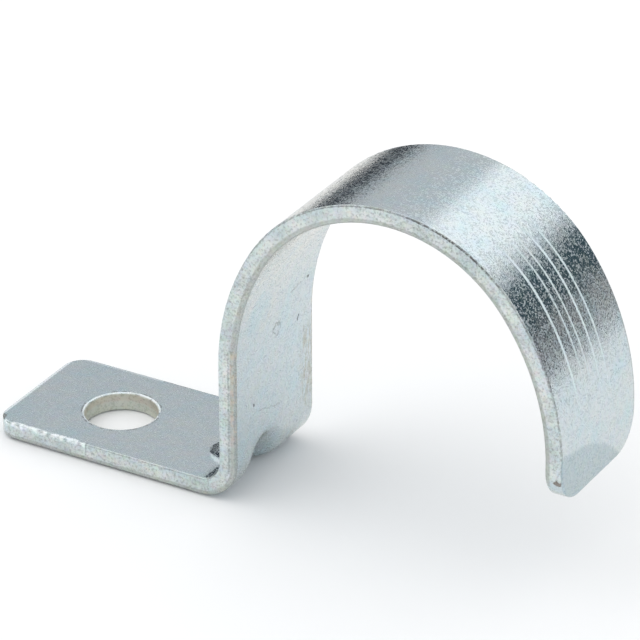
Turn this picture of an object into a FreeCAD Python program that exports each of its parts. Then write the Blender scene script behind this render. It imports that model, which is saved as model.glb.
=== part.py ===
"""Conduit strap with one screw hole: one folded steel strip, built as a single body.

The strip lies in the XZ plane and its width runs along Y. The origin is on the mounting face,
at the middle of the screw hole. The foot runs to -X and the arch for the conduit to +X.
"""
import FreeCAD, Part
import math
import os
import Sketcher

V = FreeCAD.Vector
NODE = "strap"

doc = FreeCAD.newDocument("conduit_strap")

# Sizes in millimetres and degrees
SIZES = [
    ("sheet_thickness", 2.5, "thickness of the steel strip"),
    ("strip_width", 20.0, "width of the strip"),
    ("hole_to_foot_end", 13.6, "screw hole axis to the end of the foot"),
    ("hole_to_leg", 21.1, "screw hole axis to the leg's outer face"),
    ("bend_radius", 3.0, "inner radius of the foot bend"),
    ("leg_height", 14.3, "straight part of the leg above the bend"),
    ("shoulder_radius", 30.5, "inner radius of the shoulder above the leg"),
    ("shoulder_angle", 31.0, "angle the shoulder turns through"),
    ("seat_radius", 20.1, "inner radius of the conduit seat"),
    ("seat_angle", 112.0, "angle the seat turns through"),
    ("flank_radius", 32.0, "inner radius of the free flank"),
    ("tail_height", 5.2, "straight tail at the free end"),
    ("foot_corner_radius", 3.0, "corners at the end of the foot"),
    ("tail_corner_radius", 4.7, "corners at the free end"),
    ("hole_radius", 4.9, "wall radius of the screw hole"),
    ("hole_top_rounding", 0.3, "drawn-in rim on top of the screw hole"),
    ("dart_radius", 3.5, "section radius of the pressed dart in the corner"),
    ("dart_rise", 2.65, "rise of the dart above the corner's fillet"),
    ("dart_shift", 2.2, "how far the dart sits off the strip's middle, towards -Y"),
    ("groove_radius", 4.0, "section radius of the groove behind the dart"),
    ("groove_depth", 2.65, "depth of the groove below the bend"),
    ("groove_lip_radius", 2.0, "rounded lip of the groove"),
    ("dart_root_radius", 1.0, "fillet where the dart meets foot and leg"),
    ("sheared_edge_radius", 0.5, "rolled-over edges on the conduit side"),
    ("outer_edge_radius", 0.25, "broken edges on the other side"),
]

sizes = doc.addObject("Spreadsheet::Sheet", "sizes")
for row, (alias, value, note) in enumerate(SIZES, start=1):
    sizes.set("A%d" % row, alias)
    sizes.set("B%d" % row, str(value))
    sizes.set("C%d" % row, note)
    sizes.setAlias("B%d" % row, alias)
doc.recompute()

body = doc.addObject("PartDesign::Body", NODE)
body.Label = NODE


def origin_plane(role):
    """The body's own origin plane with this role."""
    return next(item for item in body.Origin.OriginFeatures if item.Role == role)


def new_sketch(name, role):
    """An empty sketch lying flat on one of the body's origin planes."""
    sketch = body.newObject("Sketcher::SketchObject", name)
    sketch.AttachmentSupport = [(origin_plane(role), "")]
    sketch.MapMode = "FlatFace"
    return sketch


def check(feature, sign=0):
    """Recompute and stop if the feature failed or did not change the volume as it should."""
    before = check.volume
    doc.recompute()
    if "Invalid" in feature.State or "Error" in feature.State:
        raise RuntimeError("%s failed" % feature.Name)
    if feature.Shape.isNull() or not feature.Shape.isValid():
        raise RuntimeError("%s has no valid shape" % feature.Name)
    check.volume = feature.Shape.Volume
    if sign * (check.volume - before) < 0:
        raise RuntimeError("%s changed the volume the wrong way" % feature.Name)


check.volume = 0.0


def size(alias):
    """The value of a cell, for the sketches' first guess."""
    return float(sizes.get(alias))


# Side profile: foot, bend, leg and the arch's three tangent arcs
def first_guess():
    """Arc centres and ends of the profile, worked out from the cells."""
    thick = size("sheet_thickness")
    bend_top = thick + size("bend_radius")
    leg_in = size("hole_to_leg") + thick
    turn_one = math.radians(180.0 - size("shoulder_angle"))
    turn_two = turn_one - math.radians(size("seat_angle"))
    one = V(leg_in + size("shoulder_radius"), bend_top + size("leg_height"), 0)
    step = size("shoulder_radius") - size("seat_radius")
    two = one + V(math.cos(turn_one), math.sin(turn_one), 0) * step
    step = size("seat_radius") - size("flank_radius")
    three = two + V(math.cos(turn_two), math.sin(turn_two), 0) * step
    return bend_top, leg_in, turn_one, turn_two, one, two, three


bend_top, leg_in, turn_one, turn_two, centre_one, centre_two, centre_three = first_guess()
thick = size("sheet_thickness")
axis_z = V(0, 0, 1)


def arc(centre, radius, start, end):
    """Counter-clockwise arc between two angles in radians."""
    return Part.ArcOfCircle(Part.Circle(centre, axis_z, radius), start, end)


def line(start_x, start_y, end_x, end_y):
    return Part.LineSegment(V(start_x, start_y, 0), V(end_x, end_y, 0))


profile = new_sketch("side_profile", "XZ_Plane")
foot_end = -size("hole_to_foot_end")
bend_x = leg_in - bend_top
bend_centre = V(bend_x, bend_top, 0)
tail_in = centre_three.x + size("flank_radius")
tail_end = centre_three.y - size("tail_height")


def side_chain(offset):
    """One face of the strip from the foot end to the free end, offset from the conduit side."""
    under = offset
    leg = leg_in - offset
    tail = tail_in + offset
    return [
        line(foot_end, under, bend_x, under),
        arc(bend_centre, bend_top - offset, -math.pi / 2, 0),
        line(leg, bend_top, leg, centre_one.y),
        arc(centre_one, size("shoulder_radius") + offset, turn_one, math.pi),
        arc(centre_two, size("seat_radius") + offset, turn_two, turn_one),
        arc(centre_three, size("flank_radius") + offset, 0, turn_two),
        line(tail, centre_three.y, tail, tail_end),
    ]


FOOT, BEND, LEG, SHOULDER, SEAT, FLANK, TAIL = range(7)
OUTER = len(side_chain(0.0))
TAIL_CUT = OUTER + OUTER
FOOT_CUT = TAIL_CUT + 1
for piece in side_chain(0.0) + side_chain(thick):
    profile.addGeometry(piece, False)
profile.addGeometry(line(tail_in, tail_end, tail_in + thick, tail_end), False)
profile.addGeometry(line(foot_end, 0, foot_end, thick), False)

WHOLE, START, END, CENTRE = range(4)
# end of each piece that meets the next one
JOINTS = [
    (FOOT, END, BEND, START),
    (BEND, END, LEG, START),
    (LEG, END, SHOULDER, END),
    (SHOULDER, START, SEAT, END),
    (SEAT, START, FLANK, END),
    (FLANK, START, TAIL, START),
]
for chain in (0, OUTER):
    for first, first_end, second, second_end in JOINTS:
        joint = Sketcher.Constraint("Tangent", chain + first, first_end, chain + second, second_end)
        profile.addConstraint(joint)
    profile.addConstraint(Sketcher.Constraint("Horizontal", chain + FOOT))
    profile.addConstraint(Sketcher.Constraint("Vertical", chain + LEG))
    profile.addConstraint(Sketcher.Constraint("Vertical", chain + TAIL))
for piece in (BEND, SHOULDER, SEAT, FLANK):
    profile.addConstraint(Sketcher.Constraint("Coincident", piece, CENTRE, OUTER + piece, CENTRE))
profile.addConstraint(Sketcher.Constraint("Coincident", TAIL, END, TAIL_CUT, START))
profile.addConstraint(Sketcher.Constraint("Coincident", OUTER + TAIL, END, TAIL_CUT, END))
profile.addConstraint(Sketcher.Constraint("Horizontal", TAIL_CUT))
profile.addConstraint(Sketcher.Constraint("Coincident", FOOT, START, FOOT_CUT, START))
profile.addConstraint(Sketcher.Constraint("Coincident", OUTER + FOOT, START, FOOT_CUT, END))
profile.addConstraint(Sketcher.Constraint("Vertical", FOOT_CUT))
profile.addConstraint(Sketcher.Constraint("PointOnObject", FOOT, START, -1))


def dimension(sketch, name, constraint, formula):
    """Add a dimension, name it and tie it to the spreadsheet."""
    number = sketch.addConstraint(constraint)
    sketch.renameConstraint(number, name)
    sketch.setExpression("Constraints." + name, formula)


DIMENSIONS = [
    ("foot_reach", ("DistanceX", FOOT, START, -1, 1, size("hole_to_foot_end")), "hole_to_foot_end"),
    ("thickness", ("DistanceY", FOOT_CUT, START, FOOT_CUT, END, thick), "sheet_thickness"),
    ("leg_reach", ("DistanceX", -1, 1, OUTER + LEG, START, size("hole_to_leg")), "hole_to_leg"),
    ("bend", ("Radius", OUTER + BEND, size("bend_radius")), "bend_radius"),
    ("leg_length", ("DistanceY", LEG, START, LEG, END, size("leg_height")), "leg_height"),
    ("shoulder", ("Radius", SHOULDER, size("shoulder_radius")), "shoulder_radius"),
    ("seat", ("Radius", SEAT, size("seat_radius")), "seat_radius"),
    ("flank", ("Radius", FLANK, size("flank_radius")), "flank_radius"),
    ("tail_length", ("DistanceY", TAIL, END, TAIL, START, size("tail_height")), "tail_height"),
]
for name, parts, alias in DIMENSIONS:
    dimension(profile, name, Sketcher.Constraint(*parts), "sizes." + alias)
ANGLES = [("shoulder_turn", SHOULDER, "shoulder_angle"), ("seat_turn", SEAT, "seat_angle")]
for name, piece, alias in ANGLES:
    turn = Sketcher.Constraint("Angle", piece, math.radians(size(alias)))
    dimension(profile, name, turn, "sizes." + alias + " * 1 deg")
doc.recompute()

strip = body.newObject("PartDesign::Pad", "folded_strip")
strip.Profile = profile
strip.SideType = "Symmetric"
strip.setExpression("Length", "sizes.strip_width")
profile.Visibility = False
check(strip, 1)


def edge_names(feature, test):
    """Names of the feature's edges that pass the test."""
    edges = feature.Shape.Edges
    return ["Edge%d" % (number + 1) for number, edge in enumerate(edges) if test(edge)]


def add_fillet(name, base, names, alias):
    """Round the named edges of the base feature by a radius from the sheet."""
    fillet = body.newObject("PartDesign::Fillet", name)
    fillet.Base = (base, names)
    fillet.setExpression("Radius", "sizes." + alias)
    check(fillet)
    return fillet


def runs_along(edge, direction, length):
    """True for a straight edge of this length and direction."""
    if not isinstance(edge.Curve, Part.Line):
        return False
    parallel = abs(edge.tangentAt(edge.FirstParameter).dot(direction)) > 0.999
    return parallel and abs(edge.Length - length) < 0.01


def at_foot_end(edge):
    return runs_along(edge, V(0, 0, 1), thick) and edge.BoundBox.XMax < 0


def at_tail_end(edge):
    return runs_along(edge, V(1, 0, 0), thick) and edge.BoundBox.XMin > 0


foot_corners = add_fillet("foot_corners", strip, edge_names(strip, at_foot_end), "foot_corner_radius")
tail_edges = edge_names(foot_corners, at_tail_end)
tail_corners = add_fillet("tail_corners", foot_corners, tail_edges, "tail_corner_radius")

# Rolled-over and broken edges round both faces of the strip
def rim_edges(feature, offset):
    """Edges round one face of the strip, without the seams between its bends and flats."""
    chain = Part.Compound([piece.toShape() for piece in side_chain(offset)])
    width = size("strip_width")

    def on_rim(edge):
        middle = edge.valueAt((edge.FirstParameter + edge.LastParameter) / 2)
        distance = chain.distToShape(Part.Vertex(middle.x, middle.z, 0))[0]
        return distance < 0.001 and not runs_along(edge, V(0, 1, 0), width)

    return edge_names(feature, on_rim)


sheared = rim_edges(tail_corners, 0.0)
conduit_edges = add_fillet("conduit_side_edges", tail_corners, sheared, "sheared_edge_radius")
broken = rim_edges(conduit_edges, thick)
outer_edges = add_fillet("outer_side_edges", conduit_edges, broken, "outer_edge_radius")

# Pressed dart that stiffens the corner between foot and leg
# its ridge runs at 45 degrees, so its sections are drawn on a plane square to the ridge
# heights in them are measured from the sharp inner corner, outwards along the corner's bisector
CREST = "sizes.bend_radius * (sqrt(2) - 1)"
DART_TOP = CREST + " + sizes.dart_rise"
GROOVE_TOP = CREST + " - sizes.sheet_thickness + sizes.groove_depth"
CORNER_SPAN = "sizes.sheet_thickness * sqrt(2)"
crest = size("bend_radius") * (math.sqrt(2) - 1)


def ridge_sketch(name):
    """A sketch square to the dart's ridge, with its origin at the sharp inner corner."""
    sketch = new_sketch(name, "YZ_Plane")
    corner = V(-size("dart_shift"), thick, size("hole_to_leg"))
    sketch.AttachmentOffset = FreeCAD.Placement(corner, FreeCAD.Rotation(V(1, 0, 0), -45.0))
    sketch.setExpression(".AttachmentOffset.Base.x", "-sizes.dart_shift")
    sketch.setExpression(".AttachmentOffset.Base.y", "sizes.sheet_thickness")
    sketch.setExpression(".AttachmentOffset.Base.z", "sizes.hole_to_leg")
    return sketch


def hang_from_top(sketch, curve, top, formula):
    """Put the curve's centre on the bisector and its highest point at the given height."""
    point = sketch.addGeometry(Part.Point(V(0, top, 0)), True)
    sketch.addConstraint(Sketcher.Constraint("PointOnObject", curve, CENTRE, -2))
    sketch.addConstraint(Sketcher.Constraint("PointOnObject", point, START, -2))
    sketch.addConstraint(Sketcher.Constraint("PointOnObject", point, START, curve))
    height = Sketcher.Constraint("DistanceY", -1, 1, point, START, top)
    dimension(sketch, "top", height, formula)


dart_top = crest + size("dart_rise")
dart_radius = size("dart_radius")
chord_height = crest / 2
half_chord = math.sqrt(dart_radius ** 2 - (dart_top - dart_radius - chord_height) ** 2)
chord_turn = math.atan2(chord_height - dart_top + dart_radius, half_chord)

dart_sketch = ridge_sketch("dart_section")
dart_arc = arc(V(0, dart_top - dart_radius, 0), dart_radius, chord_turn, math.pi - chord_turn)
dart_sketch.addGeometry(dart_arc, False)
dart_sketch.addGeometry(line(-half_chord, chord_height, half_chord, chord_height), False)
dart_sketch.addConstraint(Sketcher.Constraint("Coincident", 0, START, 1, END))
dart_sketch.addConstraint(Sketcher.Constraint("Coincident", 0, END, 1, START))
dart_sketch.addConstraint(Sketcher.Constraint("Horizontal", 1))
dimension(dart_sketch, "radius", Sketcher.Constraint("Radius", 0, dart_radius), "sizes.dart_radius")
hang_from_top(dart_sketch, 0, dart_top, DART_TOP)
chord = Sketcher.Constraint("DistanceY", -1, 1, 1, START, chord_height)
dimension(dart_sketch, "chord", chord, CREST.replace("(sqrt(2) - 1)", "(sqrt(2) - 1) / 2"))

dart = body.newObject("PartDesign::Pad", "corner_dart")
dart.Profile = dart_sketch
dart.SideType = "Symmetric"
dart.setExpression("Length", DART_TOP + " + " + CREST + " / 2 + " + CORNER_SPAN)
dart_sketch.Visibility = False
check(dart, 1)

groove_sketch = ridge_sketch("groove_section")
groove_top = crest - thick + size("groove_depth")
groove_radius = size("groove_radius")
groove_sketch.addGeometry(Part.Circle(V(0, groove_top - groove_radius, 0), axis_z, groove_radius), False)
round_size = Sketcher.Constraint("Radius", 0, groove_radius)
dimension(groove_sketch, "radius", round_size, "sizes.groove_radius")
hang_from_top(groove_sketch, 0, groove_top, GROOVE_TOP)

groove = body.newObject("PartDesign::Pocket", "dart_groove")
groove.Profile = groove_sketch
groove.SideType = "Symmetric"
groove.setExpression("Length", "2 * (" + CORNER_SPAN + " + " + GROOVE_TOP + " + 1)")
groove_sketch.Visibility = False
check(groove, -1)

# Screw hole through the foot, with a slightly drawn-in rim on top
hole_sketch = new_sketch("screw_hole_circle", "XY_Plane")
hole_sketch.addGeometry(Part.Circle(V(0, 0, 0), axis_z, size("hole_radius")), False)
hole_sketch.addConstraint(Sketcher.Constraint("Coincident", 0, CENTRE, -1, 1))
round_size = Sketcher.Constraint("Radius", 0, size("hole_radius"))
dimension(hole_sketch, "radius", round_size, "sizes.hole_radius")
screw_hole = body.newObject("PartDesign::Pocket", "screw_hole")
screw_hole.Profile = hole_sketch
screw_hole.SideType = "Symmetric"
screw_hole.setExpression("Length", "4 * sizes.sheet_thickness")
hole_sketch.Visibility = False
check(screw_hole, -1)


def on_hole_top(edge):
    round_edge = isinstance(edge.Curve, Part.Circle)
    return round_edge and abs(edge.Curve.Radius - size("hole_radius")) < 0.001 and edge.BoundBox.ZMin > thick / 2


rim = add_fillet("hole_rim", screw_hole, edge_names(screw_hole, on_hole_top), "hole_top_rounding")


def touches(edge, feature, face_test):
    """True if a face of the feature that passes the test meets this edge."""
    faces = feature.Shape.ancestorsOfType(edge, Part.Face)
    return any(face_test(face) for face in faces)


def is_round(face, radius):
    """True for a cylinder of this radius whose axis runs at 45 degrees."""
    surface = face.Surface
    if not isinstance(surface, Part.Cylinder) or abs(surface.Radius - radius) > 0.001:
        return False
    return abs(abs(surface.Axis.x) - math.sqrt(0.5)) < 0.001


def on_groove(edge):
    return touches(edge, rim, lambda face: is_round(face, size("groove_radius")))


def on_dart(edge):
    return touches(edge, lips, lambda face: is_round(face, size("dart_radius")))


lips = add_fillet("groove_lips", rim, edge_names(rim, on_groove), "groove_lip_radius")
roots = add_fillet("dart_roots", lips, edge_names(lips, on_dart), "dart_root_radius")
body.Tip = roots

for item in doc.Objects:
    if "Invalid" in item.State or "Error" in item.State:
        raise RuntimeError("%s is not right" % item.Name)

os.makedirs("parts", exist_ok=True)
roots.Shape.exportStep("parts/" + NODE + ".step")
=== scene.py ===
"""Conduit strap: a zinc-plated folded steel strip on a pale studio floor."""

import math

import bpy
from bpy.props import FloatProperty, FloatVectorProperty, PointerProperty
from bpy.types import Operator, Panel, PropertyGroup
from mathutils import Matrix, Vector


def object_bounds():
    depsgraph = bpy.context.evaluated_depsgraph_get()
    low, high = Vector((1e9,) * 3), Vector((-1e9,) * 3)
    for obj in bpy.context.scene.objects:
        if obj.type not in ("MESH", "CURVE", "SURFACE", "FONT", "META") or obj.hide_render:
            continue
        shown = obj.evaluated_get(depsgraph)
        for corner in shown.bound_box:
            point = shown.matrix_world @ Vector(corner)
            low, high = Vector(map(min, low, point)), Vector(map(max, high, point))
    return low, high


bl_info = {
    "name": "Conduit strap",
    "version": (1, 0, 0),
    "blender": (4, 5, 0),
    "location": "View3D > Sidebar > Strap",
    "description": "Gives the conduit strap its zinc finish and sets up its studio",
    "category": "Object",
}

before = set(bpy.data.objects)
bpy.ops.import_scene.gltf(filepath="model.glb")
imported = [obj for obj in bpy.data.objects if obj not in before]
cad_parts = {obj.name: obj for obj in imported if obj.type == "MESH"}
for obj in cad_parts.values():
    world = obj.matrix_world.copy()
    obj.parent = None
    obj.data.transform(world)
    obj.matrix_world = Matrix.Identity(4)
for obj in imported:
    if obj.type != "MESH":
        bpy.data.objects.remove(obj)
CAD_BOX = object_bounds()
STRIP = "strap"
MM = 0.001

# The folded strip in millimetres. Its ends and width come from the bounds of model.glb, its side view is
# given as x and z.
# Its inner face meets the wall and the conduit.
FOOT_END = CAD_BOX[0][0] / MM
TAIL_OUTSIDE = CAD_BOX[1][0] / MM
HALF_WIDTH = CAD_BOX[1][1] / MM
THICKNESS = 2.5
BEND_CENTRE = (18.1, 5.5)
BEND_OUTER = 5.5
LEG_FACE = 23.6
LEG_TOP = 19.8
SHOULDER_CENTRE = (54.1, 19.8)
SHOULDER_INNER = 30.5
SEAT_CENTRE = (45.19, 25.16)
SEAT_INNER = 20.1
FLANK_CENTRE = (35.68, 18.0)
FLANK_INNER = 32.0
TAIL_FACE = TAIL_OUTSIDE - THICKNESS
SEAT_START = math.radians(149)
SEAT_END = math.radians(37)
LEG_BACK = 20.0
ARCH_START = 30.0
HOLE_RADIUS = 4.9

# Depth down to which a point counts as on the inner face, and from which on as on the outer face
INNER_SKIN = 0.3
OUTER_SKIN = THICKNESS - 0.2

# Noises: scale per metre, detail and roughness
RAGGED_NOISE = (900.0, 3.0, 0.6)
CLOUD_NOISE = (220.0, 4.0, 0.6)
DOT_NOISE = (2600.0, 2.0, 0.6)
WANDER_NOISE = (60.0, 1.0)

# Zones in millimetres as start and end of a fade, or as one limit. Depths count from the strip's inner face,
# sides from the middle of its width, heights from the wall and reaches along X.
EDGE_SIDE = (HALF_WIDTH - 0.62, HALF_WIDTH - 0.4)
RIM_SIDE = (HALF_WIDTH - 0.3, HALF_WIDTH - 0.05)
# Where the painted dark reflection runs along the arch's outer corner
DARK_REFLECTION_SIDE = (HALF_WIDTH - 0.22, HALF_WIDTH - 0.12)
SEAM_SIDE = HALF_WIDTH - 0.3
SEAM_FADE = (0.16, 0.06)
# Depths of the painted highlight on the cut edges' outer zone
CUT_HIGHLIGHT_DEPTH = (1.6, 1.9)
ROLLED_DEPTH = (0.85, 0.6)
# Depth at which the painted highlight on the foot's lip starts
LIP_HIGHLIGHT_DEPTH = (1.9, 2.2)
STEP_DEPTH = (0.9, 1.5)
# Reach, end, side and height of the painted highlight on the foot's lip
LIP_HIGHLIGHT_REACH = (0.7, 0.5)
LIP_HIGHLIGHT_END = (FOOT_END + 0.6, FOOT_END + 0.4)
LIP_HIGHLIGHT_END_SIDE = (8.6, 7.8)
LIP_HIGHLIGHT_END_HEIGHT = 2.25
GROOVE_HEIGHT = (25.0, 18.0)
GROOVE_BOTTOM = 4.0
FOOT_TOP = 2.1
LIP_CEILING = 3.0
WALL_RADIUS = (HOLE_RADIUS + 0.25, HOLE_RADIUS + 0.1)
WALL_HEIGHT = (2.45, 2.3)
WALL_REACH = (8.0, 7.0)
STAIN_SIDE = (6.0, 7.6)
TAIL_SKIN = (TAIL_OUTSIDE - 0.28, TAIL_OUTSIDE - 0.08)
SHOULDER_REACH = (48.0, 38.0)
SHOULDER_HEIGHT = (34.0, 40.0)

# Bands in millimetres as middle, half width and fade
GROOVE_BANDS = ((0.95, 0.06, 0.18), (0.1, 0.06, 0.12))
STEP_BAND = (0.75, 0.05, 0.12)
# Band of the painted dark reflection along the arch's outer corner
DARK_REFLECTION_BAND = (2.38, 0.07, 0.1)
TAN_BAND = (16.0, 5.5, 3.0)
WALL_TAN_BAND = (1.8, 0.3, 0.4)
# Band of the painted highlight on the hole's lip
LIP_BAND = (HOLE_RADIUS + 0.14, 0.08, 0.16)
# Band of the painted dark reflection round the hole
RING_BAND = (HOLE_RADIUS + 0.42, 0.05, 0.14)
STAIN_BAND = (12.0, 4.5, 3.0)
SCUFF_BAND = (0.8, 0.08, 0.2)
SCRATCH_FADES = (0.15, 0.12)

# Spans round the arch in degrees as start, end and fade
# Span round the arch where the painted dark reflection along the corner is darkest
CROWN_SPAN = (54, 78, 8)
LINE_SPAN = (8, 45, 18)
SEAM_SPAN = (-90, 20, 10)

# Spots: centre in millimetres, and the distances from it at which the fade starts and ends
SCUFF_CENTRE = (0.6, 20.9)
BLUE_CENTRE = (-5.0, 25.5)
BLUE_FADE = (4.0, 1.5)
PATCH_CENTRE = (-10.8, -4.1)
PATCH_FADE = (24.4, 23.6)
TAIL_RUST_CENTRE = (69.5, 16.1)
TAIL_RUST_FADE = (0.55, 0.2)
TAIL_RUST_SIDE = (-8.8, -9.2)
FOOT_RUST_CENTRE = (-13.1, -9.1)
FOOT_RUST_FADE = (0.9, 0.6)
FOOT_RUST_LOW = (2.2, 2.35)
FOOT_RUST_HIGH = (3.0, 2.8)

# Draw lines along the outer face: distance across the strip, half width and strength
DRAW_LINES = (
    (-4.7, 0.22, 1.0),
    (-2.4, 0.17, 0.7),
    (-0.9, 0.17, 0.8),
    (1.3, 0.20, 1.0),
    (3.3, 0.19, 0.9),
)
# Scratches in the leg's inner face: place across and up, half length, half width, degrees and strength
SCRATCHES = (
    (5.7, 25.3, 2.3, 0.05, 10, 0.35),
    (-1.5, 10.3, 2.8, 0.05, -15, 0.25),
    (6.0, 20.0, 0.4, 0.10, 65, 0.9),
    (7.7, 25.4, 0.15, 0.15, 0, 1.0),
    (-5.3, 12.4, 0.12, 0.12, 0, 0.9),
)

# Reflection screens in metres: name, start and end angle from +X in degrees, reach, bottom and top, colour
SCREENS = (
    ("low_curtain", 90, 410, 0.36, 0.0, 0.105, (0.02, 0.03, 0.045)),
    ("back_grey", 100, 150, 0.46, 0.10, 0.46, (0.65, 0.665, 0.685)),
    ("flank_grey", 35, 75, 0.50, 0.0, 0.088, (0.64, 0.61, 0.59)),
    ("flank_dark", 35, 80, 0.50, 0.088, 0.272, (0.05, 0.085, 0.10)),
    ("softbox", 60, 101, 0.40, 0.26, 0.60, (1.30, 1.30, 1.30)),
    ("camera_card", 230, 315, 0.50, 0.34, 0.75, (0.45, 0.45, 0.46)),
)
SCREEN_CENTRE = 0.045
SCREEN_STEP = 5

# Places and sizes of the stage in metres
FLOOR_HALF = 1.2
FLOOR_PLACE = (0.03, 0.0, -0.0002)
LAMP_PLACE = (-0.35, -0.25, 0.75)
LAMP_AIM = (0.03, 0.0, 0.02)
CAMERA_AIM = (0.03023, 0.00018, 0.02402)


class Wire:
    """A socket that can be used in Python arithmetic; each operation adds a Math node."""

    def __init__(self, board, socket):
        self.board = board
        self.socket = socket

    def math(self, operation, *others):
        return self.board.node("ShaderNodeMath", {"operation": operation}, self, *others)

    def __add__(self, other):
        return self.math("ADD", other)

    __radd__ = __add__

    def __mul__(self, other):
        return self.math("MULTIPLY", other)

    __rmul__ = __mul__

    def __sub__(self, other):
        return self.math("SUBTRACT", other)

    def __rsub__(self, other):
        return self.board.node("ShaderNodeMath", {"operation": "SUBTRACT"}, other, self)

    def __abs__(self):
        return self.math("ABSOLUTE")

    def above(self, level):
        """1 where the value is greater than the level, otherwise 0."""
        return self.math("GREATER_THAN", level)

    def highest(self, other):
        return self.math("MAXIMUM", other)

    def across(self, other):
        """Length of the line that goes this far one way and that far square to it."""
        return (self * self + other * other).math("SQRT")

    def ramp(self, low, high):
        """0 below low, 1 above high and smooth between; falls instead if high is below low."""
        settings = {"interpolation_type": "SMOOTHSTEP"}
        if low < high:
            return self.board.node("ShaderNodeMapRange", settings, self, low, high, 0.0, 1.0)
        return self.board.node("ShaderNodeMapRange", settings, self, high, low, 1.0, 0.0)

    def band(self, middle, half, soft):
        """1 within half of the middle, falling to 0 over the soft distance on both sides."""
        return abs(self - middle).ramp(half + soft, half)

    def pick(self, low, high):
        """The high value where this mask is 1 and the low one where it is 0."""
        return low + (high - low) * self


class Board:
    """The node tree of one material or world."""

    def __init__(self, owner):
        owner.use_nodes = True
        self.tree = owner.node_tree
        self.tree.nodes.clear()

    def node(self, kind, settings=None, *values, out=0, **named):
        """Add a node, set its settings, fill its sockets in order or by name, and give back one output."""
        node = self.tree.nodes.new(kind)
        for name, value in (settings or {}).items():
            setattr(node, name, value)
        for key, value in list(enumerate(values)) + list(named.items()):
            socket = node.inputs[key] if isinstance(key, int) else node.inputs[key.replace("_", " ")]
            self.fill(socket, value)
        return Wire(self, node.outputs[out]) if node.outputs else None

    def fill(self, socket, value):
        if isinstance(value, Wire):
            self.tree.links.new(value.socket, socket)
        else:
            socket.default_value = value

    def mix(self, factor, first, second):
        """Mix two colours."""
        node = self.tree.nodes.new("ShaderNodeMix")
        node.data_type = "RGBA"
        self.fill(node.inputs[0], factor)
        for socket, value in ((node.inputs[6], first), (node.inputs[7], second)):
            if not isinstance(value, Wire):
                value = (*value[:3], 1.0)
            self.fill(socket, value)
        return Wire(self, node.outputs[2])

    def vector(self, operation, *values):
        """A Vector Math node."""
        return self.node("ShaderNodeVectorMath", {"operation": operation}, *values)

    def split(self, vector):
        """The three parts of a vector."""
        parts = self.node("ShaderNodeSeparateXYZ", None, vector).socket.node.outputs
        return [Wire(self, part) for part in parts]

    def noise(self, vector, scale, detail=2.0, roughness=0.5):
        return self.node("ShaderNodeTexNoise", None, vector, Scale=scale, Detail=detail, Roughness=roughness)

    def cells(self, vector, scale):
        """A random colour for each cell."""
        return self.node("ShaderNodeTexVoronoi", None, vector, Scale=scale, out=1)


def paint(name, description, colour):
    """A colour that can be set in the panel."""
    return FloatVectorProperty(
        name=name, description=description, subtype="COLOR", size=3, min=0.0, max=1.0, default=colour)


class StrapFinish(PropertyGroup):
    """Sizes and colours of the zinc plating."""

    zinc: paint("Zinc", "Colour of the plated faces", (0.63, 0.71, 0.74))
    shade: paint("Shade", "Colour of the plating's darker grains", (0.56, 0.64, 0.68))
    pale_cloud: paint("Pale cloud", "Colour of the plating's pale clouds", (0.66, 0.70, 0.69))
    blue_cloud: paint("Blue cloud", "Colour of the plating's blue clouds", (0.53, 0.68, 0.73))
    sheared: paint("Sheared edge", "Colour of the plating on the strip's cut edges", (0.58, 0.65, 0.65))
    burnish: paint("Burnished edge", "Colour of the cut edges' brighter clouds", (0.75, 0.79, 0.77))
    # Painted highlight on the outer zone of the cut edges
    cut: paint("Cut zone", "Colour of the smooth outer zone of the cut edges", (0.64, 0.74, 0.76))
    pit: paint("Pits", "Colour of the small pits in the cut edges", (0.36, 0.38, 0.38))
    rolled: paint("Rolled zone", "Colour of the rolled-over inner zone of the cut edges", (0.46, 0.49, 0.46))
    tan: paint("Tan", "Colour of the tan spots on the leg's edge and in the hole", (0.60, 0.53, 0.45))
    groove: paint("Groove", "Colour of the leg's fine grooves and the foot's step", (0.36, 0.40, 0.40))
    # Painted dark reflection along the arch's outer corner and round the hole
    dark_reflection: paint("Dark reflection", "Colour of the arch's crease and the ring round the hole", (0.18, 0.18, 0.18))
    # Painted highlight on the lip round the foot and the hole
    painted_highlight: paint("Lip highlight", "Colour of the bright lip round the foot and the hole", (0.86, 0.92, 0.94))
    punched: paint("Punched wall", "Colour of the screw hole's wall", (0.62, 0.65, 0.59))
    rust: paint("Rust", "Colour of the bare spots on the corners", (0.20, 0.16, 0.13))
    # Darker, bluer patch on the free end; it changes only the colour
    patch: paint("Patch", "Colour of the dull patch on the free end", (0.42, 0.52, 0.56))
    seam: paint("Seam", "Colour of the fine line beside the far edge", (0.34, 0.36, 0.36))
    draw_line: paint("Draw lines", "Colour of the scraped draw lines and streaks", (0.71, 0.82, 0.85))
    scratch: paint("Scratches", "Colour of the scratches in the leg", (0.16, 0.19, 0.20))
    stain: paint("Stain", "Colour of the stain beside the leg's far edge", (0.46, 0.46, 0.40))
    edge: paint("Edge tint", "Tint of the plating seen at a flat angle", (1.0, 0.95, 0.90))
    roughness: FloatProperty(
        name="Roughness", description="Roughness of the plated faces", subtype="FACTOR",
        min=0.0, max=1.0, default=0.12)
    grain: FloatProperty(
        name="Grain", description="Size of the zinc crystals", unit="LENGTH",
        min=0.0001, max=0.01, default=0.0002)
    tilt: FloatProperty(
        name="Tilt", description="How far the zinc crystals tilt to all sides", subtype="FACTOR",
        min=0.0, max=1.0, default=0.065)
    relief: FloatProperty(
        name="Relief", description="Height of the grains", unit="LENGTH",
        min=0.0, max=0.001, default=0.00002)


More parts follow.
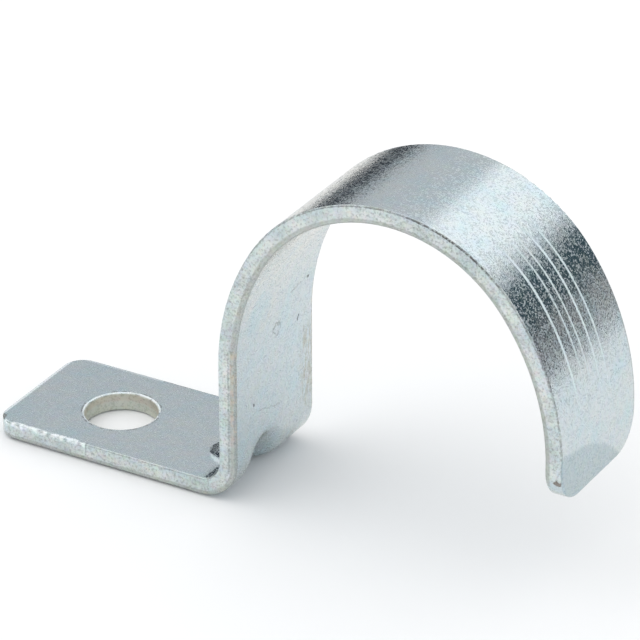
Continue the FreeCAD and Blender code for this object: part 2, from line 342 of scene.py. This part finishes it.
class StrapStudio(PropertyGroup):
    """Camera, floor and lamp."""

    azimuth: FloatProperty(
        name="Azimuth", description="Camera's angle round the strap", subtype="ANGLE",
        default=math.radians(29.85))
    elevation: FloatProperty(
        name="Elevation", description="Camera's height above the floor as an angle", subtype="ANGLE",
        default=math.radians(27.94))
    distance: FloatProperty(
        name="Distance", description="Camera to the middle of the strap", unit="LENGTH", default=0.558)
    lens: FloatProperty(name="Lens", description="Camera's focal length", unit="CAMERA", default=246.7)
    lamp_size: FloatProperty(name="Lamp size", description="Side of the key lamp", unit="LENGTH", default=0.9)
    lamp_power: FloatProperty(
        name="Lamp power", description="Power of the key lamp", unit="POWER", default=2.0)
    floor: paint("Floor", "Colour of the floor", (0.90, 0.91, 0.92))


class StripPlan:
    """Where a point lies on the folded strip, in millimetres, with the shared noises and masks."""

    def __init__(self, board):
        self.board = board
        self.place = board.node("ShaderNodeTexCoord", out=3)
        self.x, self.y, self.z = board.split(board.vector("MULTIPLY", self.place, (1 / MM, 1 / MM, 1 / MM)))
        self.turn = (self.z - SEAT_CENTRE[1]).math("ARCTAN2", self.x - SEAT_CENTRE[0])
        self.depth = self.depth_below_inner_face()
        self.ragged = board.noise(self.place, *RAGGED_NOISE) - 0.5
        self.cloud = board.noise(self.place, *CLOUD_NOISE)
        self.dots = board.noise(self.place, *DOT_NOISE)
        self.side = abs(self.y) + self.ragged * 0.15
        self.edge = self.side.ramp(*EDGE_SIDE)
        self.rim = self.side.ramp(*RIM_SIDE)
        self.leg = 1.0 - self.x.above(ARCH_START)
        self.leg_inside = (1.0 - self.depth.above(INNER_SKIN)) * self.leg * self.x.above(LEG_BACK)
        self.flank = self.depth.above(OUTER_SKIN) * self.x.above(SEAT_CENTRE[0])

    def span(self, start, end, fade):
        """1 between two angles round the arch, in degrees, falling to 0 over the fade before and after."""
        rising = self.turn.ramp(math.radians(start - fade), math.radians(start))
        return rising * self.turn.ramp(math.radians(end + fade), math.radians(end))

    def from_centre(self, across, up, centre):
        """Distance of a pair of coordinates from a centre."""
        return (across - centre[0]).across(up - centre[1])

    def depth_below_inner_face(self):
        """Depth below the face that meets the wall and the conduit, all along the strip."""
        x, z = self.x, self.z

        def radius(centre):
            return self.from_centre(x, z, centre)

        foot = x.above(BEND_CENTRE[0]).pick(z, BEND_OUTER - radius(BEND_CENTRE))
        leg = z.above(BEND_CENTRE[1]).pick(foot, LEG_FACE - x)
        shoulder = z.above(LEG_TOP).pick(leg, radius(SHOULDER_CENTRE) - SHOULDER_INNER)
        flank = z.above(FLANK_CENTRE[1]).pick(x - TAIL_FACE, radius(FLANK_CENTRE) - FLANK_INNER)
        sides = x.above(SEAT_CENTRE[0]).pick(shoulder, flank)
        on_seat = self.turn.above(SEAT_END) * (1.0 - self.turn.above(SEAT_START))
        return on_seat.pick(sides, radius(SEAT_CENTRE) - SEAT_INNER)


class STRAP_OT_finish(Operator):
    """Give the folded strip its zinc plating"""

    bl_idname = "strap.finish"
    bl_label = "Zinc finish"

    def execute(self, context):
        finish = context.scene.strap_finish
        material = bpy.data.materials.new("zinc_plated_steel")
        board = Board(material)
        plan = StripPlan(board)
        crystals = board.cells(plan.place, 1.0 / finish.grain)
        grain = board.noise(plan.place, 1.0 / finish.grain, 2.0, 0.6)
        wall, lip, ring = self.hole(plan)
        # Painted highlight on the lips of the foot and the hole
        painted_highlight = self.lip_highlight(plan).highest(lip)
        lines = self.draw_lines(plan)
        streaks = self.streaks(plan)
        scratches = self.scratches(plan)

        colour = self.plating(plan, finish, grain)
        for mask, coat in (
            *self.cut_edges(plan, finish),
            # Painted highlight on the lips
            (painted_highlight * 0.8, finish.painted_highlight),
            (wall, finish.punched),
            (wall * (plan.z + plan.ragged).band(*WALL_TAN_BAND) * 0.5, finish.tan),
            # Painted dark reflection round the hole
            (ring * 0.6, finish.dark_reflection),
            (self.rust(plan) * 0.8, finish.rust),
            (self.patch(plan) * 0.8, finish.patch),
            (self.seam(plan) * 0.5, finish.seam),
            (streaks * 0.25, finish.draw_line),
            (lines, finish.draw_line),
            (self.blue_patch(plan) * 0.7, finish.blue_cloud),
            (self.stain(plan) * 0.7, finish.stain),
            (scratches, finish.scratch),
        ):
            colour = board.mix(mask, colour, coat)

        matt = self.matt_crystals(plan, crystals)
        # Metallic drops under the draw lines and the painted highlight, so that their pale colour shows
        shader = board.node(
            "ShaderNodeBsdfPrincipled",
            Base_Color=self.bloom(plan, colour),
            Metallic=1.0 - (lines + painted_highlight + streaks * 0.1) * 0.8,
            Roughness=finish.roughness + matt * 0.34 + plan.rim * 0.25 + wall * 0.3 + lines * 0.5,
            Normal=self.facets(board, finish, crystals, grain - lines * 0.6 - scratches * 2.0),
            Specular_Tint=(*finish.edge, 1.0))
        board.node("ShaderNodeOutputMaterial", None, shader)
        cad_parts[STRIP].data.materials[0] = material
        return {"FINISHED"}

    def plating(self, plan, finish, grain):
        """Zinc with darker grains and with pale and blue clouds."""
        board, cloud = plan.board, plan.cloud
        colour = board.mix(grain.ramp(0.3, 0.7), finish.shade, finish.zinc)
        colour = board.mix(cloud.ramp(0.45, 0.75) * 0.5, colour, finish.pale_cloud)
        return board.mix(cloud.ramp(0.5, 0.3) * (1.0 - plan.rim) * 0.6, colour, finish.blue_cloud)

    def bloom(self, plan, colour):
        """Faint pink, green and blue tints of the passivated zinc, stronger on the cut edges."""
        board = plan.board
        tint = board.node(
            "ShaderNodeTexNoise", None, plan.place, Scale=700.0, Detail=4.0, Roughness=0.75, out=1)
        tint = board.vector("MULTIPLY", board.vector("SUBTRACT", tint, (0.5, 0.5, 0.5)), (1.1, 0.8, 1.1))
        tinted = board.vector("MULTIPLY", colour, board.vector("ADD", tint, (1.0, 1.0, 1.0)))
        return board.mix(plan.rim * 0.15 + 0.2, colour, tinted)

    def matt_crystals(self, plan, crystals):
        """How matt each crystal is, less so on the shoulder."""
        shoulder = plan.x.ramp(*SHOULDER_REACH) * plan.z.ramp(*SHOULDER_HEIGHT)
        return plan.board.split(crystals)[0].ramp(0.62, 0.8) * (1.0 - shoulder * 0.5)

    def facets(self, board, finish, crystals, height):
        """The normal of crystals that each tilt their own way, with the grain's height on them."""
        normal = board.node("ShaderNodeNewGeometry", out=1)
        tilt = board.vector("SUBTRACT", crystals, (0.5, 0.5, 0.5))
        tilt = board.vector("MULTIPLY", tilt, (finish.tilt, finish.tilt, finish.tilt))
        facets = board.vector("NORMALIZE", board.vector("ADD", normal, tilt))
        return board.node(
            "ShaderNodeBump", Strength=1.0, Distance=finish.relief, Height=height, Normal=facets)

    def cut_edges(self, plan, finish):
        """Masks and colours of the sheared long edges, from the base colour up, with a painted highlight on
        their outer zone and a painted dark reflection along the arch's outer corner.
        """
        depth, ragged, edge = plan.depth, plan.ragged, plan.edge
        base = plan.board.mix(plan.cloud.ramp(0.35, 0.65), finish.sheared, finish.burnish)
        yield plan.rim, base
        # Painted highlight on the outer zone of the cut edges
        yield plan.rim * (depth + ragged * 0.5).ramp(*CUT_HIGHLIGHT_DEPTH) * 0.5, finish.cut
        yield plan.rim * plan.dots.ramp(0.5, 0.64) * 0.5, finish.pit
        rolled = edge * (depth + ragged * 0.3).ramp(*ROLLED_DEPTH)
        yield rolled * 0.75, finish.rolled
        yield rolled * plan.leg * plan.z.band(*TAN_BAND) * ragged.ramp(-0.1, 0.1) * 0.7, finish.tan
        yield self.grooves(plan).highest(self.step(plan)) * edge * 0.65, finish.groove
        # Painted dark reflection along the arch's outer corner
        yield self.dark_reflection(plan), finish.dark_reflection

    def grooves(self, plan):
        """Two fine broken grooves beside the leg's rolled zone."""
        wavy = plan.depth + plan.ragged * 0.2
        upper, lower = GROOVE_BANDS
        both = wavy.band(*upper).highest(wavy.band(*lower)) * plan.leg
        return both * plan.z.above(GROOVE_BOTTOM) * plan.z.ramp(*GROOVE_HEIGHT) * plan.dots.ramp(0.3, 0.5)

    def step(self, plan):
        """A short upright line where the painted highlight on the foot's lip stops."""
        upright = (plan.x + plan.ragged * 0.2).band(*STEP_BAND)
        return upright * plan.depth.ramp(*STEP_DEPTH) * (1.0 - plan.z.above(LIP_CEILING))

    def dark_reflection(self, plan):
        """A painted dark reflection in a thin dotted line along the arch's outer corner, darker beside the
        crown.
        """
        corner = plan.side.ramp(*DARK_REFLECTION_SIDE) * (plan.depth + plan.ragged * 0.1).band(*DARK_REFLECTION_BAND)
        strength = plan.span(*CROWN_SPAN) * 0.5 + 0.35
        return corner * strength * plan.x.above(ARCH_START) * plan.dots.ramp(0.38, 0.52)

    def lip_highlight(self, plan):
        """The painted highlight on the foot's lip at its end and sides, broken on the near side, faint on the
        far.
        """
        sides = plan.edge * (plan.depth + plan.ragged * 0.8).ramp(*LIP_HIGHLIGHT_DEPTH) * plan.x.ramp(*LIP_HIGHLIGHT_REACH)
        strength = plan.y.above(0.0).pick(plan.ragged.ramp(-0.1, 0.1), 0.35)
        end = plan.x.ramp(*LIP_HIGHLIGHT_END) * plan.z.above(LIP_HIGHLIGHT_END_HEIGHT) * plan.side.ramp(*LIP_HIGHLIGHT_END_SIDE)
        return (sides * strength).highest(end * 0.8)

    def hole(self, plan):
        """The screw hole's wall, the painted highlight on its lip and the painted dark reflection in a broken
        ring round it.
        """
        bore = plan.x.across(plan.y)
        on_top = plan.z.above(FOOT_TOP)
        wall = bore.ramp(*WALL_RADIUS) * plan.z.ramp(*WALL_HEIGHT) * plan.x.ramp(*WALL_REACH)
        # Painted highlight on the hole's lip
        lip = (bore + plan.ragged * 0.1).band(*LIP_BAND) * on_top
        # Painted dark reflection in a broken ring round the hole
        ring = (bore + plan.ragged * 0.2).band(*RING_BAND) * on_top
        return wall, lip * plan.ragged.ramp(-0.15, 0.05), ring * plan.ragged.ramp(-0.02, 0.08)

    def draw_lines(self, plan):
        """Fine bright lines left along the outer flank when the arch was formed."""
        wander = (plan.board.noise(plan.place, *WANDER_NOISE) - 0.5) * 0.5
        lines = 0.0
        for middle, half, strength in DRAW_LINES:
            lines = (plan.y + wander).band(middle, half * 0.4, half) * strength + lines
        return lines * plan.span(*LINE_SPAN) * plan.flank * (plan.dots.ramp(0.3, 0.5) * 0.5 + 0.5)

    def streaks(self, plan):
        """Faint fine streaks along the strip between the draw lines."""
        along = plan.board.node("ShaderNodeCombineXYZ", None, plan.turn * 1.2, plan.y * 3.0, 0.0)
        return plan.board.noise(along, 1.0, 2.0).ramp(0.55, 0.75) * plan.flank

    def seam(self, plan):
        """A fine line beside the far edge of the lower flank."""
        return abs(plan.y - SEAM_SIDE).ramp(*SEAM_FADE) * plan.flank * plan.span(*SEAM_SPAN)

    def scratches(self, plan):
        """Fine dark scratches and one round scuff in the leg's inner face."""
        end_fade, side_fade = SCRATCH_FADES
        marks = 0.0
        for across, up, length, wide, degrees, strength in SCRATCHES:
            cos, sin = math.cos(math.radians(degrees)), math.sin(math.radians(degrees))
            right, above = plan.y - across, plan.z - up
            along = right * cos + above * sin
            off = above * cos - right * sin + plan.ragged * 0.9
            marks = along.band(0.0, length, end_fade) * off.band(0.0, wide, side_fade) * strength + marks
        scuff = plan.from_centre(plan.y, plan.z, SCUFF_CENTRE) + plan.ragged * 2.4
        marks = marks + scuff.band(*SCUFF_BAND) * 0.45
        return marks * plan.dots.ramp(0.3, 0.5) * plan.leg_inside

    def stain(self, plan):
        """A tan stain in upright streaks beside the leg's far edge."""
        upright = plan.board.node("ShaderNodeCombineXYZ", None, plan.y * 2.2, plan.z * 0.4, 0.0)
        streaks = plan.board.noise(upright, 1.0, 4.0, 0.7).ramp(0.42, 0.6)
        place = (plan.y + plan.ragged * 3.0).ramp(*STAIN_SIDE) * plan.z.band(*STAIN_BAND)
        return place * streaks * plan.leg_inside

    def blue_patch(self, plan):
        """A bluer cloud high on the leg's inner face."""
        far = plan.from_centre(plan.y, plan.z, BLUE_CENTRE) + (plan.cloud - 0.5) * 6.0
        return far.ramp(*BLUE_FADE) * plan.leg_inside

    def patch(self, plan):
        """A darker, bluer patch with a round outline on the free end."""
        far = plan.from_centre(plan.y, plan.z, PATCH_CENTRE) + plan.ragged * 0.6
        return far.ramp(*PATCH_FADE) * plan.x.ramp(*TAIL_SKIN)

    def rust(self, plan):
        """Bare brown spots on the near corners of both ends."""
        tail = plan.from_centre(plan.x, plan.z, TAIL_RUST_CENTRE) + plan.ragged * 2.5
        foot = plan.from_centre(plan.x, plan.y, FOOT_RUST_CENTRE) + plan.ragged * 1.5
        on_side = plan.y.ramp(*TAIL_RUST_SIDE)
        on_foot = plan.z.ramp(*FOOT_RUST_LOW) * plan.z.ramp(*FOOT_RUST_HIGH)
        return (tail.ramp(*TAIL_RUST_FADE) * on_side).highest(foot.ramp(*FOOT_RUST_FADE) * on_foot * 0.7)


class STRAP_OT_stage(Operator):
    """Set up the floor, reflection screens, world, lamp and camera"""

    bl_idname = "strap.stage"
    bl_label = "Studio"

    def execute(self, context):
        studio = context.scene.strap_studio
        self.make_floor(studio)
        for screen in SCREENS:
            self.add_screen(*screen)
        self.make_world(context.scene)
        self.make_lamp(context, studio)
        self.make_camera(context, studio)
        context.scene.view_settings.view_transform = "Standard"
        return {"FINISHED"}

    def add_stage_mesh(self, name, corners, faces):
        """Add a mesh object to the stage; give it back with its material's board."""
        mesh = bpy.data.meshes.new(name)
        mesh.from_pydata(corners, [], faces)
        thing = bpy.data.objects.new(name, mesh)
        bpy.context.collection.objects.link(thing)
        material = bpy.data.materials.new(name)
        mesh.materials.append(material)
        return thing, Board(material)

    def add_screen(self, name, start, end, reach, bottom, top, colour):
        """A curved card that only reflections show, standing round the strap between two angles."""
        steps = round((end - start) / SCREEN_STEP)
        turns = [math.radians(start + (end - start) * step / steps) for step in range(steps + 1)]
        low = [(SCREEN_CENTRE + math.cos(turn) * reach, math.sin(turn) * reach, bottom) for turn in turns]
        high = [(px, py, top) for px, py, level in low]
        faces = [(n, n + 1, steps + n + 2, steps + n + 1) for n in range(steps)]
        card, board = self.add_stage_mesh(name, low + high, faces)
        glow = board.node("ShaderNodeEmission", None, (*colour, 1.0), 1.0)
        board.node("ShaderNodeOutputMaterial", None, glow)
        card.visible_camera = False
        card.visible_diffuse = False
        card.visible_shadow = False

    def make_floor(self, studio):
        """A plain pale floor just under the strap, which it doesn't touch."""
        half = FLOOR_HALF
        corners = [(-half, -half, 0), (half, -half, 0), (half, half, 0), (-half, half, 0)]
        floor, board = self.add_stage_mesh("floor", corners, [(0, 1, 2, 3)])
        floor.location = FLOOR_PLACE
        paper = board.node("ShaderNodeBsdfPrincipled", Base_Color=(*studio.floor, 1.0), Roughness=0.9)
        board.node("ShaderNodeOutputMaterial", None, paper)

    def make_world(self, scene):
        """A plain white world."""
        world = bpy.data.worlds.new("studio")
        scene.world = world
        board = Board(world)
        white = board.node("ShaderNodeBackground", None, (1.0, 1.0, 1.0, 1.0), 1.0)
        board.node("ShaderNodeOutputWorld", None, white)

    def make_lamp(self, context, studio):
        """A large soft lamp above the front left, which reflections don't show."""
        lamp = bpy.data.lights.new("key", "AREA")
        lamp.size = studio.lamp_size
        lamp.energy = studio.lamp_power
        holder = bpy.data.objects.new("key", lamp)
        holder.location = LAMP_PLACE
        holder.rotation_euler = (Vector(LAMP_AIM) - holder.location).to_track_quat("-Z", "Y").to_euler()
        holder.visible_glossy = False
        context.collection.objects.link(holder)

    def make_camera(self, context, studio):
        """A long lens that looks down at the strap."""
        around, up = studio.azimuth, studio.elevation
        back = Vector((math.sin(around) * math.cos(up), -math.cos(around) * math.cos(up), math.sin(up)))
        camera = bpy.data.cameras.new("camera")
        camera.lens = studio.lens
        camera.sensor_width = 36.0
        camera.clip_start = 0.05
        holder = bpy.data.objects.new("camera", camera)
        holder.location = Vector(CAMERA_AIM) + back * studio.distance
        holder.rotation_euler = back.to_track_quat("Z", "Y").to_euler()
        context.collection.objects.link(holder)
        context.scene.camera = holder


class STRAP_PT_panel(Panel):
    """Lists the strap's operators and sizes"""

    bl_idname = "STRAP_PT_panel"
    bl_label = "Conduit strap"
    bl_space_type = "VIEW_3D"
    bl_region_type = "UI"
    bl_category = "Strap"

    def draw(self, context):
        for operator in OPERATORS:
            self.layout.operator(operator.bl_idname)
        for group in (context.scene.strap_finish, context.scene.strap_studio):
            for name in group.__annotations__:
                self.layout.prop(group, name)


OPERATORS = (STRAP_OT_finish, STRAP_OT_stage)
CLASSES = (StrapFinish, StrapStudio) + OPERATORS + (STRAP_PT_panel,)


def register():
    for item in CLASSES:
        bpy.utils.register_class(item)
    bpy.types.Scene.strap_finish = PointerProperty(type=StrapFinish)
    bpy.types.Scene.strap_studio = PointerProperty(type=StrapStudio)


def unregister():
    del bpy.types.Scene.strap_studio
    del bpy.types.Scene.strap_finish
    for item in reversed(CLASSES):
        bpy.utils.unregister_class(item)


def main():
    register()
    bpy.ops.strap.finish()
    bpy.ops.strap.stage()


if __name__ == "__main__":
    main()
